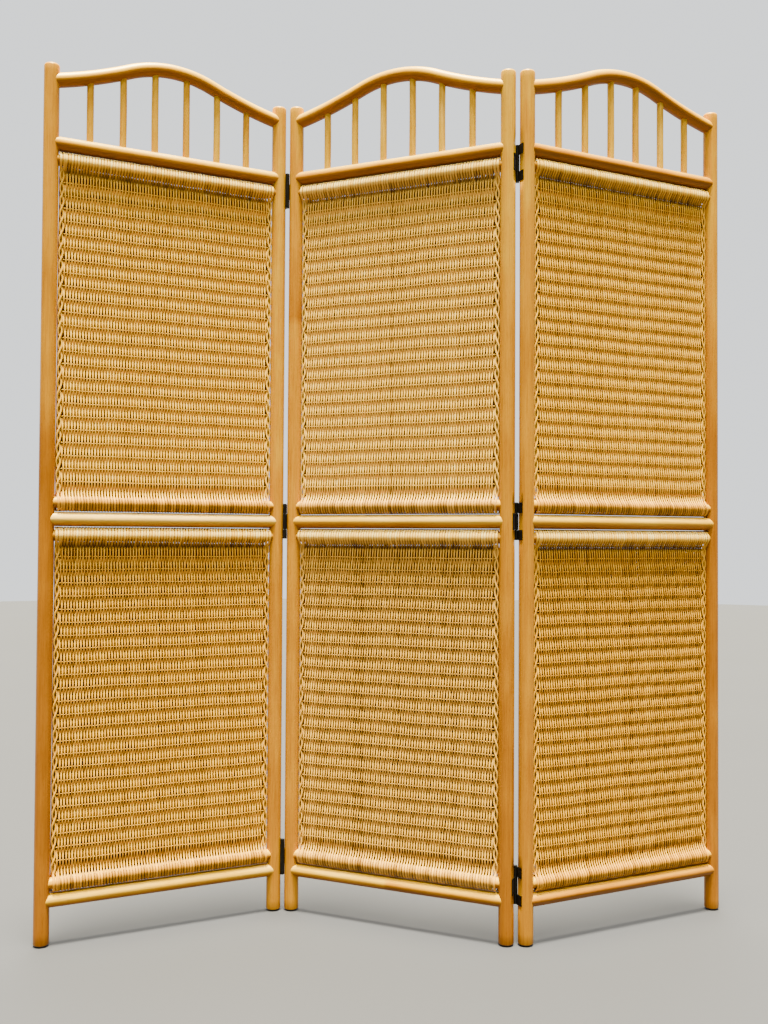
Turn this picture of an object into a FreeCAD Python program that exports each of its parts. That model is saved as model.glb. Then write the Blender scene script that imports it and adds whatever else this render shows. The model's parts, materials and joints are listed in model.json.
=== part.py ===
import FreeCAD, Part
import os
import Sketcher

# A three-panel folding screen of rattan pole. Each panel is two stiles with a bowed top rail, three straight
# rails, a row of spindles and two woven mats laced round poles. Hinges join the panels in a zigzag.
# The frame: +Z up, the floor at zero, -Y the side that the viewer faces, origin under the centre panel.

SIZES = {
    # stiles and straight rails
    "post_diameter": 32,
    "post_top": 1800,
    "post_top_round": 5,
    "stile_spacing": 498,
    "rail_diameter": 30,
    "bottom_rail_height": 90,
    # bowed top rail: a crown arc between two reverse arcs that run into the stiles below their tops
    "arch_end_drop": 34,
    "arch_crown_radius": 235,
    "arch_steep_angle": 22.5,
    "arch_end_angle": 12,
    # spindles between the upper rail and the bowed rail, whose ends stand one bay apart
    "spindle_bay": 129,
    "spindle_pitch": 68.3,
    "spindle_diameter": 15,
    "spindle_socket": 12,
    # woven mats and the poles that they are laced round
    "mat_pole_diameter": 24,
    "mat_rail_gap": 3.5,
    "strand_thickness": 3,
    "mat_side_gap": 1.5,
    # the weave swells over each stake, thins between them and gathers in a throat under each roll
    "first_stake": 44,
    "mat_thickness": 9,
    "valley_thickness": 4.4,
    "throat_thickness": 22,
    "throat_start": 8,
    "throat_end": 27,
    # hidden dowels in the coped ends
    "rail_dowel_diameter": 10,
    "pole_dowel_diameter": 8,
    "dowel_post_depth": 14,
    "dowel_rail_depth": 24,
    # glides under the stiles
    "glide_diameter": 26,
    "glide_height": 4,
    "glide_spigot_diameter": 6,
    "glide_spigot_length": 14,
    # hinges: two outer plates and one inner plate on a pin, let into a planed flat on each stile
    "hinge_rail_offset": 29,
    "flat_depth": 2.4,
    "flat_margin": 1,
    "plate_thickness": 1.6,
    "plate_reach": 23,
    "outer_plate_height": 21,
    "inner_plate_height": 34,
    "knuckle_gap": 0.4,
    "barrel_diameter": 9.2,
    "pin_diameter": 4.4,
    "pin_clearance": 0.05,
    "pin_head_diameter": 7,
    "pin_head_height": 1.4,
    "closed_gap": 0.8,
    # countersunk hinge screws
    "screw_diameter": 3,
    "screw_dowel_clearance": 3,
    "screw_head_diameter": 6,
    "screw_head_height": 1.4,
    "screw_edge_distance": 5.5,
    # how far each panel stands turned from the line of the screen
    "panel_angle": 25,
}

SPINDLE_COUNT = 6
STAKE_COUNT = 24

LAYOUT = {
    "post_radius": "Sizes.post_diameter / 2",
    "rail_radius": "Sizes.rail_diameter / 2",
    "half_span": "Sizes.stile_spacing / 2",
    # heights of the rails' axes, the middle one half-way between its neighbours
    "arch_end_height": "Sizes.post_top - Sizes.arch_end_drop",
    "upper_rail_height": "arch_end_height - Sizes.spindle_bay",
    "middle_rail_height": "(upper_rail_height + Sizes.bottom_rail_height) / 2",
    # bowed rail: junction of the arcs, reverse radius and the arcs' centres, from mid-span outwards
    "steep_sine": "sin(Sizes.arch_steep_angle * 1 deg)",
    "steep_cosine": "cos(Sizes.arch_steep_angle * 1 deg)",
    "end_sine": "sin(Sizes.arch_end_angle * 1 deg)",
    "end_cosine": "cos(Sizes.arch_end_angle * 1 deg)",
    "crown_reach": "Sizes.arch_crown_radius * steep_sine",
    "reverse_radius": "(half_span - crown_reach) / (steep_sine - end_sine)",
    "reverse_rise": "reverse_radius * (end_cosine - steep_cosine)",
    "crown_centre": "arch_end_height + reverse_rise - Sizes.arch_crown_radius * steep_cosine",
    "reverse_offset": "(Sizes.arch_crown_radius + reverse_radius) * steep_sine",
    "reverse_centre": "crown_centre + (Sizes.arch_crown_radius + reverse_radius) * steep_cosine",
    # the bowed rail's axis where it meets the stile's surface
    "cope_reach": "reverse_offset - half_span + post_radius",
    "arch_cope_height": "reverse_centre - sqrt(reverse_radius ^ 2 - cope_reach ^ 2)",
    # heights of the mat poles
    "roll_diameter": "Sizes.mat_pole_diameter + 2 * Sizes.strand_thickness",
    "mat_pole_offset": "rail_radius + Sizes.mat_rail_gap + roll_diameter / 2",
    "upper_mat_top": "upper_rail_height - mat_pole_offset",
    "upper_mat_bottom": "middle_rail_height + mat_pole_offset",
    "lower_mat_top": "middle_rail_height - mat_pole_offset",
    "lower_mat_bottom": "Sizes.bottom_rail_height + mat_pole_offset",
    "mat_edge": "post_radius + Sizes.mat_side_gap",
    # the weave, from a mat's middle: half its thicknesses, its throats' heights and its lowest ridge
    "mat_width": "Sizes.stile_spacing - 2 * mat_edge",
    "mat_half_height": "(upper_mat_top - upper_mat_bottom) / 2",
    "throat_half": "Sizes.throat_thickness / 2",
    "valley_half": "Sizes.valley_thickness / 2",
    "ridge_half": "Sizes.mat_thickness / 2",
    "throat_mouth": "mat_half_height - Sizes.throat_start",
    "throat_foot": "mat_half_height - Sizes.throat_end",
    "lowest_stake": "Sizes.first_stake - mat_half_height",
    "stake_reach": "-2 * lowest_stake",
    "ridge_low": f"lowest_stake - stake_reach / {2 * STAKE_COUNT - 2}",
    "ridge_high": f"lowest_stake + stake_reach / {2 * STAKE_COUNT - 2}",
    # hinge pin, measured from its stile's axis: along the panel and square to it
    "flat_offset": "post_radius - Sizes.flat_depth",
    "pin_along": "flat_offset + Sizes.plate_thickness / 2",
    "pin_across": "post_radius + Sizes.closed_gap / 2",
    "hinge_half_height": "Sizes.inner_plate_height / 2 + Sizes.knuckle_gap + Sizes.outer_plate_height",
    "outer_plate_offset": "(Sizes.inner_plate_height + Sizes.outer_plate_height) / 2 + Sizes.knuckle_gap",
    "bore_diameter": "Sizes.pin_diameter + 2 * Sizes.pin_clearance",
    # the plates' outer faces and the tips of their screws, which stop short of the dowels
    "plate_face": "flat_offset + Sizes.plate_thickness",
    "screw_tip": "Sizes.dowel_post_depth - post_radius + Sizes.screw_dowel_clearance",
    # heights of the hinges
    "top_hinge": "upper_rail_height - Sizes.hinge_rail_offset",
    "middle_hinge": "middle_rail_height",
    "bottom_hinge": "Sizes.bottom_rail_height + Sizes.hinge_rail_offset",
    # floor places of the panels' left stiles
    "turn_sine": "sin(Sizes.panel_angle * 1 deg)",
    "turn_cosine": "cos(Sizes.panel_angle * 1 deg)",
    "centre_x": "-half_span * turn_cosine",
    "centre_y": "half_span * turn_sine",
    "left_pin_x": "-(half_span + pin_along) * turn_cosine - pin_across * turn_sine",
    "left_pin_y": "(half_span + pin_along) * turn_sine - pin_across * turn_cosine",
    "left_x": "left_pin_x - (Sizes.stile_spacing + pin_along) * turn_cosine - pin_across * turn_sine",
    "left_y": "left_pin_y - (Sizes.stile_spacing + pin_along) * turn_sine + pin_across * turn_cosine",
    "right_x": "-left_pin_x + pin_along * turn_cosine + pin_across * turn_sine",
    "right_y": "-left_pin_y + pin_along * turn_sine - pin_across * turn_cosine",
}

SIDES = ("left", "right")
TURNS = {"left": 1, "centre": -1, "right": 1}
RAIL_HEIGHTS = {
    "arched_rail": "Layout.arch_cope_height",
    "upper_rail": "Layout.upper_rail_height",
    "middle_rail": "Layout.middle_rail_height",
    "bottom_rail": "Sizes.bottom_rail_height",
}
MATS = ("upper_mat", "lower_mat")
HINGES = ("top", "middle", "bottom")
FRONT, BACK = -1, 1
# hinged stiles: panel and side, with the fold, the face that its pin stands at and the plates that it carries
HINGED = {
    ("left", "right"): ("left_fold", FRONT, "outer"),
    ("centre", "left"): ("left_fold", FRONT, "inner"),
    ("centre", "right"): ("right_fold", BACK, "inner"),
    ("right", "left"): ("right_fold", BACK, "outer"),
}

ALONG_X = FreeCAD.Rotation(FreeCAD.Vector(0, 1, 0), 90)
AGAINST_X = FreeCAD.Rotation(FreeCAD.Vector(0, 1, 0), -90)
UPRIGHT = FreeCAD.Rotation()

doc = FreeCAD.newDocument("FoldingScreen")
nodes = []


def make_sheet(name, cells):
    """Writes named cells, one a row: plain numbers as text, formulas with an equals sign."""
    sheet = doc.addObject("Spreadsheet::Sheet", name)
    for row, (alias, value) in enumerate(cells.items(), start=1):
        sheet.set(f"A{row}", alias)
        sheet.setAlias(f"B{row}", alias)
        sheet.set(f"B{row}", f"={value}" if isinstance(value, str) else str(value))
    doc.recompute()
    return sheet


def bind(target, **expressions):
    """Ties properties to expressions; x, y and z are the base of the placement."""
    for key, expression in expressions.items():
        path = f".Placement.Base.{key}" if key in "xyz" else key
        target.setExpression(path, expression)
    return target


def cylinder(name, diameter, length, x="0", y="0", z="0", rotation=UPRIGHT):
    """A bar from its start point, upright or along X."""
    bar = doc.addObject("Part::Cylinder", name)
    bar.Placement = FreeCAD.Placement(FreeCAD.Vector(), rotation)
    return bind(bar, Radius=f"({diameter}) / 2", Height=length, x=x, y=y, z=z)


def box(name, length, width, height, x, y, z):
    block = doc.addObject("Part::Box", name)
    return bind(block, Length=length, Width=width, Height=height, x=x, y=y, z=z)


def fuse(name, pieces):
    joined = doc.addObject("Part::MultiFuse", name)
    joined.Shapes = pieces
    return joined


def cut(name, base, tools):
    """The base less every tool; touching tools are joined first."""
    result = doc.addObject("Part::Cut", name)
    result.Base = base
    result.Tool = fuse(f"{name}_tools", tools) if len(tools) > 1 else tools[0]
    return result


def group(name, pieces):
    """Identical loose pieces kept as separate solids in one node."""
    bunch = doc.addObject("Part::Compound", name)
    bunch.Links = pieces
    return bunch


def finish(piece, panel, node):
    """Names a finished sub-part and stands it in its panel's place."""
    piece.Label = node
    bind(piece, x=f"Layout.{panel}_x", y=f"Layout.{panel}_y")
    piece.setExpression(".Placement.Rotation.Angle", f"{TURNS[panel]} * Sizes.panel_angle * 1 deg")
    nodes.append(piece)
    return piece


def outward(side, distance):
    """X of a point that far outside a stile's axis; inside it when the distance is negative."""
    return f"-({distance})" if side == "left" else f"Sizes.stile_spacing + ({distance})"


def bar_outward(name, side, start, end, diameter, z):
    """A bar along X between two distances outside a stile's axis, at mid-thickness."""
    first = end if side == "left" else start
    return cylinder(name, diameter, f"({end}) - ({start})", outward(side, first), "0", z, ALONG_X)


def pole_heights():
    return {f"{mat}_{end}": f"Layout.{mat}_{end}" for mat in MATS for end in ("top", "bottom")}


def make_dowels(panel):
    """A dowel for each end of each rail and mat pole, half in the stile and half in the bar."""
    dowels = {}
    kinds = ((RAIL_HEIGHTS, "Sizes.rail_dowel_diameter"), (pole_heights(), "Sizes.pole_dowel_diameter"))
    for heights, diameter in kinds:
        for bar, z in heights.items():
            for side in SIDES:
                start = "-Layout.post_radius - Sizes.dowel_rail_depth"
                end = "-Layout.post_radius + Sizes.dowel_post_depth"
                dowels[bar, side] = bar_outward(f"{panel}_{bar}_{side}_dowel", side, start, end, diameter, z)
    return dowels


def make_glides(panel):
    """A disc under each stile with a spigot pressed up into the end grain."""
    glides = {}
    for side in SIDES:
        name = f"{panel}_{side}_glide"
        x = outward(side, "0")
        disc = cylinder(f"{name}_disc", "Sizes.glide_diameter", "Sizes.glide_height", x)
        spigot_length = "Sizes.glide_height + Sizes.glide_spigot_length"
        spigot = cylinder(f"{name}_spigot", "Sizes.glide_spigot_diameter", spigot_length, x)
        glides[side] = fuse(name, [disc, spigot])
    return glides


def screw(name, side, z):
    """A countersunk screw driven square into a planed flat, its head flush with the plate."""
    face = "Layout.plate_face"
    shank = bar_outward(f"{name}_shank", side, "Layout.screw_tip", face, "Sizes.screw_diameter", z)
    head = doc.addObject("Part::Cone", f"{name}_head")
    head.Placement = FreeCAD.Placement(FreeCAD.Vector(), ALONG_X if side == "left" else AGAINST_X)
    bind(head, Radius1="Sizes.screw_head_diameter / 2", Radius2="Sizes.screw_diameter / 2",
         Height="Sizes.screw_head_height", x=outward(side, face), z=z)
    return fuse(name, [shank, head])


def plate_zones(kind):
    """A hinge's plates about its middle: name, centre offset and height."""
    if kind == "inner":
        return [("middle", "0", "Sizes.inner_plate_height")]
    offset, height = "Layout.outer_plate_offset", "Sizes.outer_plate_height"
    return [("upper", offset, height), ("lower", f"-{offset}", height)]


def make_pin(name, side, face, middle):
    """A hinge pin with a head that stands on the top knuckle."""
    x = outward(side, "Layout.pin_along")
    y = f"{face} * Layout.pin_across"
    foot = f"{middle} - Layout.hinge_half_height"
    shank_length = "2 * Layout.hinge_half_height"
    shank = cylinder(f"{name}_shank", "Sizes.pin_diameter", shank_length, x, y, foot)
    head_foot = f"{middle} + Layout.hinge_half_height"
    head = cylinder(f"{name}_head", "Sizes.pin_head_diameter", "Sizes.pin_head_height", x, y, head_foot)
    return fuse(name, [shank, head])


def make_plate_blank(name, side, face, centre, height):
    """A flat plate with its knuckle, let into the stile's planed flat, before it is drilled."""
    foot = f"{centre} - {height} / 2"
    pin_x = outward(side, "Layout.pin_along")
    knuckle = cylinder(f"{name}_knuckle", "Sizes.barrel_diameter", height, pin_x,
                       f"{face} * Layout.pin_across", foot)
    first = "Layout.plate_face" if side == "left" else "Layout.flat_offset"
    # the plate starts inside the knuckle's wall and runs back across the flat
    root = "(Sizes.barrel_diameter + Sizes.pin_diameter) / 4"
    near = f"{face} * (Layout.pin_across - {root})"
    far = f"{face} * (Layout.pin_across - Sizes.plate_reach)"
    leaf = box(f"{name}_leaf", "Sizes.plate_thickness", f"Sizes.plate_reach - {root}", height,
               outward(side, first), near if face == FRONT else far, foot)
    return fuse(f"{name}_blank", [knuckle, leaf])


def make_hinge(panel, side):
    """Plates, screws and pins on one stile; returns the flats and screws that cut into the stile."""
    fold, face, kind = HINGED[panel, side]
    flats, screws, pins = [], [], []
    for hinge in HINGES:
        middle = f"Layout.{hinge}_hinge"
        name = f"{fold}_{hinge}_{kind}"
        flat_foot = f"{middle} - Layout.hinge_half_height - Sizes.flat_margin"
        flat_height = "2 * (Layout.hinge_half_height + Sizes.flat_margin)"
        first = "Layout.post_radius + Sizes.flat_depth" if side == "left" else "Layout.flat_offset"
        flats.append(box(f"{name}_flat", "2 * Sizes.flat_depth", "Sizes.post_diameter", flat_height,
                         outward(side, first), "-Layout.post_radius", flat_foot))
        if kind == "outer":
            hole = make_pin(f"{fold}_{hinge}_pin", side, face, middle)
            pins.append(hole)
        else:
            hole = cylinder(f"{name}_bore", "Layout.bore_diameter", "2 * Layout.hinge_half_height",
                            outward(side, "Layout.pin_along"), f"{face} * Layout.pin_across",
                            f"{middle} - Layout.hinge_half_height")
        plates = []
        for zone, offset, height in plate_zones(kind):
            centre = f"({middle} + {offset})"
            reach = f"({height} / 2 - Sizes.screw_edge_distance)"
            pair = [screw(f"{name}_{zone}_screw_{step}", side, f"{centre} + {sign} * {reach}")
                    for step, sign in (("low", -1), ("high", 1))]
            blank = make_plate_blank(f"{name}_{zone}", side, face, centre, height)
            plates.append(cut(f"{name}_{zone}_plate", blank, [hole] + pair))
            screws += pair
        if kind == "outer":
            finish(group(f"{name}_plates", plates), panel, f"{name}_plates")
        else:
            finish(plates[0], panel, f"{name}_plate")
    if pins:
        finish(group(f"{fold}_hinge_pins", pins), panel, f"{fold}_hinge_pins")
    return flats, screws


def top_edge(pad):
    """Name of the pad's uppermost round edge."""
    heights = [edge.BoundBox.ZMin for edge in pad.Shape.Edges]
    return f"Edge{heights.index(max(heights)) + 1}"


def make_stile(panel, side, tools):
    """A round pole with a rounded top, drilled for its dowels and glide and planed flat at its hinges."""
    name = f"{panel}_{side}_stile"
    body = doc.addObject("PartDesign::Body", f"{name}_pole")
    sketch = body.newObject("Sketcher::SketchObject", f"{name}_section")
    plane = next(item for item in body.Origin.OriginFeatures if item.Role == "XY_Plane")
    sketch.AttachmentSupport = [(plane, "")]
    sketch.MapMode = "FlatFace"
    radius = float(sizes.post_diameter) / 2
    sketch.addGeometry(Part.Circle(FreeCAD.Vector(), FreeCAD.Vector(0, 0, 1), radius), False)
    sketch.addConstraint(Sketcher.Constraint("Coincident", 0, 3, -1, 1))
    diameter = sketch.addConstraint(Sketcher.Constraint("Diameter", 0, 2 * radius))
    sketch.setExpression(f"Constraints[{diameter}]", "Sizes.post_diameter")
    pad = body.newObject("PartDesign::Pad", f"{name}_length")
    pad.Profile = sketch
    pad.setExpression("Length", "Sizes.post_top - Sizes.glide_height")
    doc.recompute()
    rounding = body.newObject("PartDesign::Fillet", f"{name}_top")
    rounding.Base = (pad, [top_edge(pad)])
    rounding.setExpression("Radius", "Sizes.post_top_round")
    bind(body, x=outward(side, "0"), z="Sizes.glide_height")
    finish(cut(name, body, tools), panel, name)


def make_arch_blank(panel):
    """Three rings of pole: a crown arc and, each side, a reverse arc tangent to it."""
    arcs = []
    spans = (
        ("crown", "Sizes.arch_crown_radius", "Layout.half_span", "Layout.crown_centre",
         "90 - Sizes.arch_steep_angle", "2 * Sizes.arch_steep_angle"),
        ("left", "Layout.reverse_radius", "Layout.half_span - Layout.reverse_offset",
         "Layout.reverse_centre", "270 + Sizes.arch_end_angle",
         "Sizes.arch_steep_angle - Sizes.arch_end_angle"),
        ("right", "Layout.reverse_radius", "Layout.half_span + Layout.reverse_offset",
         "Layout.reverse_centre", "270 - Sizes.arch_steep_angle",
         "Sizes.arch_steep_angle - Sizes.arch_end_angle"),
    )
    for span, radius, x, height, start, sweep in spans:
        arc = doc.addObject("Part::Torus", f"{panel}_arch_{span}")
        bind(arc, Radius1=radius, Radius2="Layout.rail_radius", Angle3=f"({sweep}) * 1 deg", x=x, y=height)
        arc.setExpression(".Placement.Rotation.Angle", f"({start}) * 1 deg")
        arcs.append(arc)
    blank = fuse(f"{panel}_arch_blank", arcs)
    # the arcs are drawn flat and then stood up
    blank.Placement = FreeCAD.Placement(FreeCAD.Vector(), FreeCAD.Rotation(FreeCAD.Vector(1, 0, 0), 90))
    return blank


def spindle_offset(step):
    """How far one spindle stands from mid-span, the row being centred in the panel."""
    return f"Sizes.spindle_pitch * ({step} - {SPINDLE_COUNT + 1} / 2)"


def arch_height(step):
    """Height of the bowed rail's axis over one spindle: on the crown arc, or on a reverse arc beyond it."""
    u = f"abs({spindle_offset(step)})"
    on_crown = f"Layout.crown_centre + sqrt(abs(Sizes.arch_crown_radius ^ 2 - {u} ^ 2))"
    on_reverse = (f"Layout.reverse_centre - "
                  f"sqrt(abs(Layout.reverse_radius ^ 2 - (Layout.reverse_offset - {u}) ^ 2))")
    return f"({u} <= Layout.crown_reach ? {on_crown} : {on_reverse})"


def make_spindles(panel):
    """Plain rods at even spaces, socketed in the upper rail below and the bowed rail above."""
    spindles = []
    foot = "Layout.upper_rail_height + Layout.rail_radius - Sizes.spindle_socket"
    for step in range(1, SPINDLE_COUNT + 1):
        x = f"Layout.half_span + {spindle_offset(step)}"
        head = f"{arch_height(step)} - Layout.rail_radius + Sizes.spindle_socket"
        spindles.append(cylinder(f"{panel}_spindle_{step}", "Sizes.spindle_diameter", f"{head} - ({foot})",
                                 x, "0", foot))
    return spindles


def pad_across(body, name, side):
    """A bar across the mat; side lists its section's corners up one face: half thickness, sign, height."""
    sketch = body.newObject("Sketcher::SketchObject", f"{name}_section")
    plane = next(item for item in body.Origin.OriginFeatures if item.Role == "YZ_Plane")
    sketch.AttachmentSupport = [(plane, "")]
    sketch.MapMode = "FlatFace"
    corners = [(BACK, *corner) for corner in side] + [(FRONT, *corner) for corner in reversed(side)]
    points = [FreeCAD.Vector(face * getattr(layout, half), sign * getattr(layout, height))
              for face, half, sign, height in corners]
    for line, point in enumerate(points):
        sketch.addGeometry(Part.LineSegment(point, points[(line + 1) % len(points)]), False)
    for line, (face, half, sign, height) in enumerate(corners):
        sketch.addConstraint(Sketcher.Constraint("Coincident", line, 1, (line - 1) % len(corners), 2))
        y = sketch.addConstraint(Sketcher.Constraint("DistanceX", -1, 1, line, 1, points[line].x))
        z = sketch.addConstraint(Sketcher.Constraint("DistanceY", -1, 1, line, 1, points[line].y))
        sketch.setExpression(f"Constraints[{y}]", f"{face} * Layout.{half}")
        sketch.setExpression(f"Constraints[{z}]", f"{sign} * Layout.{height}")
    pad = body.newObject("PartDesign::Pad", name)
    pad.Profile = sketch
    pad.setExpression("Length", "Layout.mat_width")
    return pad


def make_weave(name):
    """A woven sheet about its middle: throats at both ends and a ridge over each stake, front and back."""
    body = doc.addObject("PartDesign::Body", f"{name}_sheet")
    core = [("throat_half", -1, "throat_mouth"), ("valley_half", -1, "throat_foot"),
            ("valley_half", 1, "throat_foot"), ("throat_half", 1, "throat_mouth")]
    ridge = [("valley_half", 1, "ridge_low"), ("ridge_half", 1, "lowest_stake"),
             ("valley_half", 1, "ridge_high")]
    pad_across(body, f"{name}_core", core)
    first = pad_across(body, f"{name}_first_ridge", ridge)
    rows = body.newObject("PartDesign::LinearPattern", f"{name}_ridges")
    rows.Originals = [first]
    rows.Direction = (first.Profile[0], ["V_Axis"])
    rows.Occurrences = STAKE_COUNT
    rows.setExpression("Length", "Layout.stake_reach")
    body.Tip = rows
    return body


def make_mat(panel, mat, poles):
    """A woven sheet with a roll at each end that is laced round a pole."""
    name = f"{panel}_{mat}"
    rolls = [cylinder(f"{name}_{end}_roll", "Layout.roll_diameter", "Layout.mat_width", "Layout.mat_edge",
                      "0", f"Layout.{mat}_{end}", ALONG_X) for end in ("top", "bottom")]
    sheet = bind(make_weave(name), x="Layout.mat_edge", z=f"(Layout.{mat}_top + Layout.{mat}_bottom) / 2")
    finish(cut(name, fuse(f"{name}_weave", rolls + [sheet]), poles), panel, name)


def make_panel(panel):
    """One panel, flat in its own frame: X from the left stile's axis to the right one's, -Y the front."""
    dowels = make_dowels(panel)
    glides = make_glides(panel)
    posts = [cylinder(f"{panel}_{side}_cope", "Sizes.post_diameter", "Sizes.post_top", outward(side, "0"))
             for side in SIDES]
    hinge_screws = []
    for side in SIDES:
        tools = [dowel for (bar, end), dowel in dowels.items() if end == side] + [glides[side]]
        if (panel, side) in HINGED:
            flats, screws = make_hinge(panel, side)
            tools += flats + screws
            hinge_screws += screws
        make_stile(panel, side, tools)

    spindles = make_spindles(panel)
    for rail, z in RAIL_HEIGHTS.items():
        name = f"{panel}_{rail}"
        tools = posts + [dowels[rail, side] for side in SIDES]
        if rail == "arched_rail":
            blank = make_arch_blank(panel)
        else:
            blank = cylinder(f"{name}_blank", "Sizes.rail_diameter", "Sizes.stile_spacing",
                             "0", "0", z, ALONG_X)
        if rail in ("arched_rail", "upper_rail"):
            tools = tools + spindles
        finish(cut(name, blank, tools), panel, name)
    finish(group(f"{panel}_spindles", spindles), panel, f"{panel}_spindles")

    for mat in MATS:
        blanks, poles = [], []
        for end in ("top", "bottom"):
            name = f"{panel}_{mat}_{end}"
            blank = cylinder(f"{name}_blank", "Sizes.mat_pole_diameter", "Sizes.stile_spacing", "0", "0",
                             f"Layout.{mat}_{end}", ALONG_X)
            tools = posts + [dowels[f"{mat}_{end}", side] for side in SIDES]
            blanks.append(blank)
            poles.append(cut(f"{name}_pole", blank, tools))
        make_mat(panel, mat, blanks)
        finish(group(f"{panel}_{mat}_poles", poles), panel, f"{panel}_{mat}_poles")

    finish(group(f"{panel}_dowels", list(dowels.values())), panel, f"{panel}_dowels")
    finish(group(f"{panel}_glides", list(glides.values())), panel, f"{panel}_glides")
    finish(group(f"{panel}_hinge_screws", hinge_screws), panel, f"{panel}_hinge_screws")


def check_and_write():
    """Stops on any failed object or bad shape, then writes one file for each sub-part."""
    for item in doc.Objects:
        if {"Invalid", "Error"} & set(item.State):
            raise RuntimeError(f"{item.Name} failed to compute")
    for piece in nodes:
        if piece.Shape.isNull() or not piece.Shape.isValid() or not piece.Shape.Solids:
            raise RuntimeError(f"{piece.Label} has no valid solid")
    os.makedirs("parts", exist_ok=True)
    for piece in nodes:
        piece.Shape.exportStep(f"parts/{piece.Label}.step")
        print(piece.Label, len(piece.Shape.Solids), round(piece.Shape.Volume))


sizes = make_sheet("Sizes", SIZES)
layout = make_sheet("Layout", LAYOUT)
for panel in TURNS:
    make_panel(panel)
doc.recompute()
check_and_write()
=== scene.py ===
"""A folding screen of three rattan panels: lacquered poles, woven rattan mats and black steel hinges."""
import json

import bpy
import numpy as np
from bpy.props import FloatProperty, FloatVectorProperty, IntProperty, PointerProperty
from mathutils import Matrix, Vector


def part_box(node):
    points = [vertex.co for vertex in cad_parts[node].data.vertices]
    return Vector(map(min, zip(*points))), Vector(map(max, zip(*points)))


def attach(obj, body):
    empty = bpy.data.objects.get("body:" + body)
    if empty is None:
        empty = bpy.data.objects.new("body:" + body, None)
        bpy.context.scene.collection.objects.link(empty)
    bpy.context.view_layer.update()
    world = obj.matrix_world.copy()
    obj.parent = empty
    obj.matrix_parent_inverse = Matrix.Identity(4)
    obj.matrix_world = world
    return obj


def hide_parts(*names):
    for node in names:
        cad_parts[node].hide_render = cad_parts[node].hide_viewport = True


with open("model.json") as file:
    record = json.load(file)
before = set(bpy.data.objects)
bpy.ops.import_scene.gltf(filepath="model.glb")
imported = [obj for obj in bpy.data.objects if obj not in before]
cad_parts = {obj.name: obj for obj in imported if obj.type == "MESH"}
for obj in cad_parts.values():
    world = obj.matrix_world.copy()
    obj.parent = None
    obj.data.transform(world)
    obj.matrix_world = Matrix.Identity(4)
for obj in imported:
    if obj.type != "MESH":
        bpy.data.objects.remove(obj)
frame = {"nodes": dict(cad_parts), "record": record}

bl_info = {
    "name": "Rattan folding screen",
    "version": (1, 0, 0),
    "blender": (4, 5, 0),
    "location": "View3D > Sidebar > Screen",
    "description": "Builds the poles, woven mats, fittings and stage of a three-panel rattan screen",
    "category": "Add Mesh",
}

PANELS = ("left", "centre", "right")
MATS = ("upper_mat", "lower_mat")
UP = np.array([0.0, 0.0, 1.0])
FEET = {mount["name"]: np.array(mount["pos_m"]) for mount in frame["record"]["mounts"]}
SPAN = float(np.linalg.norm(FEET["left_panel_right_foot"] - FEET["left_panel_left_foot"]))
# stiles that are planed flat for hinge plates
HINGED = (("left", "right"), ("centre", "left"), ("centre", "right"), ("right", "left"))
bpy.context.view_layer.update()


def linear(hex_colour):
    """An sRGB hex colour as linear red, green and blue."""
    s = np.array([int(hex_colour[i:i + 2], 16) for i in (1, 3, 5)]) / 255
    return tuple(float(v) for v in np.where(s <= 0.04045, s / 12.92, ((s + 0.055) / 1.055) ** 2.4))


def length(label, description, metres):
    """A length for the sidebar, in metres."""
    return FloatProperty(name=label, description=description, default=metres, unit="LENGTH",
                         subtype="DISTANCE")


def colour(label, description, hex_colour):
    """A colour for the sidebar, from sRGB hex."""
    return FloatVectorProperty(name=label, description=description, default=linear(hex_colour),
                               subtype="COLOR", size=3, min=0, max=1)


class ScreenSizes(bpy.types.PropertyGroup):
    """Sizes of the poles and of the weave."""
    post_diameter: length("Stile diameter", "Thickness of the upright poles", 0.032)
    post_round: length("Stile top round", "Radius worked on the stiles' top edges", 0.005)
    rail_diameter: length("Rail diameter", "Thickness of the cross rails", 0.030)
    spindle_diameter: length("Spindle diameter", "Thickness of the rods under the bowed rail", 0.015)
    spindle_pitch: length("Spindle pitch", "From one spindle's axis to the next", 0.0683)
    spindle_socket: length("Spindle socket", "How deep the spindles stand in the rails", 0.012)
    crown_radius: length("Crown radius", "Radius of the bowed rail's crown", 0.235)
    flat_offset: length("Flat offset", "From a stile's axis to its planed flat", 0.0136)
    flat_half_height: length("Flat half height", "Half the height of a planed flat", 0.0394)
    mat_pole_diameter: length("Mat pole diameter", "Thickness of the poles inside the rolls", 0.024)
    mat_edge: length("Mat edge", "From a stile's axis to the mat's edge", 0.0175)
    strand_width: length("Strand width", "Mean width of one rattan core strand in the weave", 0.0051)
    strand_spread: length("Strand spread", "How much wider a strand is behind a stake, and narrower in front",
                          0.0021)
    roll_width: length("Strand width on a roll", "Width of one strand where it folds over a pole", 0.0055)
    border_width: length("Border strand width", "Width of one strand in the side borders", 0.0038)
    strand_thickness: length("Strand thickness", "Thickness of one rattan core strand", 0.0028)
    loop_slack: length("Loop slack", "How far the strands' folds stand clear of a pole", 0.0032)
    strand_inset: length("First strand", "From the mat's edge to its first full strand", 0.0119)
    edge_depth: length("Edge strand depth", "How far edge strands stand behind the mat's middle", 0.0026)
    stake_diameter: length("Stake diameter", "Thickness of the canes across the mat", 0.0022)
    stake_inset: length("Stake inset", "From the mat's edge to a stake's end", 0.006)
    first_stake: length("First stake", "From a roll's axis to the nearest stake", 0.0440)
    strand_count: IntProperty(name="Strands", description="Upright strands in a mat", default=146, min=2)
    stake_count: IntProperty(name="Stakes", description="Canes across a mat", default=24, min=2)


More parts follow.
